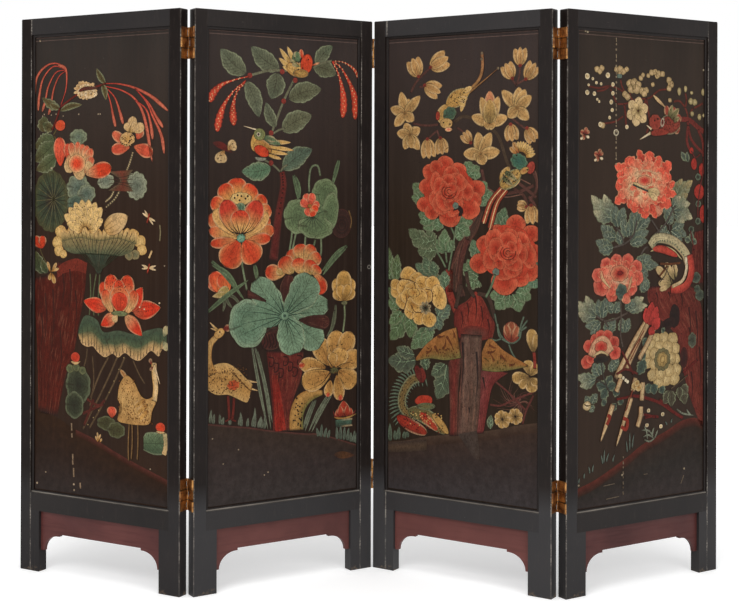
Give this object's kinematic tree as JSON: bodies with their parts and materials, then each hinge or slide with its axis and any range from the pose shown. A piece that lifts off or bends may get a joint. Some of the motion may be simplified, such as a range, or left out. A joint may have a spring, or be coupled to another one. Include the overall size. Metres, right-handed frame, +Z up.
{
  "type": "folding screen",
  "caption": "Tall lacquered folding screen of framed panels with arched aprons between the legs, joined by double-action brass hinges and standing in a zigzag.",
  "frame": {"origin": "middle of the footprint of the screen as it stands, on the floor", "axes": "+X along the row of panels to the viewer's right, +Y from the painted front to the back, +Z up"},
  "size_m": [1.7396, 0.2983, 1.37],
  "materials": {
    "black_lacquer": "satin black lacquer on wood, worn pale along the edges",
    "field_lacquer": "dark brown-black lacquer ground with a soft gloss",
    "maroon_lacquer": "maroon lacquer, dull and a little worn",
    "brass_plate": "aged brass sheet, brown in the corners",
    "brass_screw": "aged brass screws with dark slots",
    "steel_pin": "bright pins, rubbed at their ends"
  },
  "bodies": {
    "panel_1": {"panel_1_left_stile": "black_lacquer", "panel_1_right_stile": "black_lacquer", "panel_1_top_rail": "black_lacquer", "panel_1_bottom_rail": "black_lacquer", "panel_1_apron": "maroon_lacquer", "panel_1_field_boards": "field_lacquer", "panel_1_front_bead": "black_lacquer", "panel_1_back_bead": "black_lacquer", "hinge_1_left_leaves": "brass_plate", "hinge_1_middle_links": "brass_plate", "hinge_1_left_pins": "steel_pin", "hinge_1_left_screws": "brass_screw"},
    "panel_2": {"panel_2_left_stile": "black_lacquer", "panel_2_right_stile": "black_lacquer", "panel_2_top_rail": "black_lacquer", "panel_2_bottom_rail": "black_lacquer", "panel_2_apron": "maroon_lacquer", "panel_2_field_boards": "field_lacquer", "panel_2_front_bead": "black_lacquer", "panel_2_back_bead": "black_lacquer", "hinge_1_right_leaves": "brass_plate", "hinge_1_outer_links": "brass_plate", "hinge_1_right_pins": "steel_pin", "hinge_1_right_screws": "brass_screw", "hinge_2_left_leaves": "brass_plate", "hinge_2_outer_links": "brass_plate", "hinge_2_left_pins": "steel_pin", "hinge_2_left_screws": "brass_screw"},
    "panel_3": {"panel_3_left_stile": "black_lacquer", "panel_3_right_stile": "black_lacquer", "panel_3_top_rail": "black_lacquer", "panel_3_bottom_rail": "black_lacquer", "panel_3_apron": "maroon_lacquer", "panel_3_field_boards": "field_lacquer", "panel_3_front_bead": "black_lacquer", "panel_3_back_bead": "black_lacquer", "hinge_2_right_leaves": "brass_plate", "hinge_2_middle_links": "brass_plate", "hinge_2_right_pins": "steel_pin", "hinge_2_right_screws": "brass_screw", "hinge_3_left_leaves": "brass_plate", "hinge_3_middle_links": "brass_plate", "hinge_3_left_pins": "steel_pin", "hinge_3_left_screws": "brass_screw"},
    "panel_4": {"panel_4_left_stile": "black_lacquer", "panel_4_right_stile": "black_lacquer", "panel_4_top_rail": "black_lacquer", "panel_4_bottom_rail": "black_lacquer", "panel_4_apron": "maroon_lacquer", "panel_4_field_boards": "field_lacquer", "panel_4_front_bead": "black_lacquer", "panel_4_back_bead": "black_lacquer", "hinge_3_right_leaves": "brass_plate", "hinge_3_outer_links": "brass_plate", "hinge_3_right_pins": "steel_pin", "hinge_3_right_screws": "brass_screw"}
  },
  "joints": [
    {"name": "fold_1_2", "type": "hinge", "parent": "panel_2", "child": "panel_1", "pos_m": [-0.42628, -0.11529, 0.685], "axis": [0, 0, -1], "range_deg": [-61, 118]},
    {"name": "fold_2_3", "type": "hinge", "parent": "panel_2", "child": "panel_3", "pos_m": [0.00802, 0.12284, 0.685], "axis": [0, 0, -1], "range_deg": [-65, 114]},
    {"name": "fold_3_4", "type": "hinge", "parent": "panel_3", "child": "panel_4", "pos_m": [0.4381, -0.12284, 0.685], "axis": [0, 0, 1], "range_deg": [-65, 114]}
  ]
}
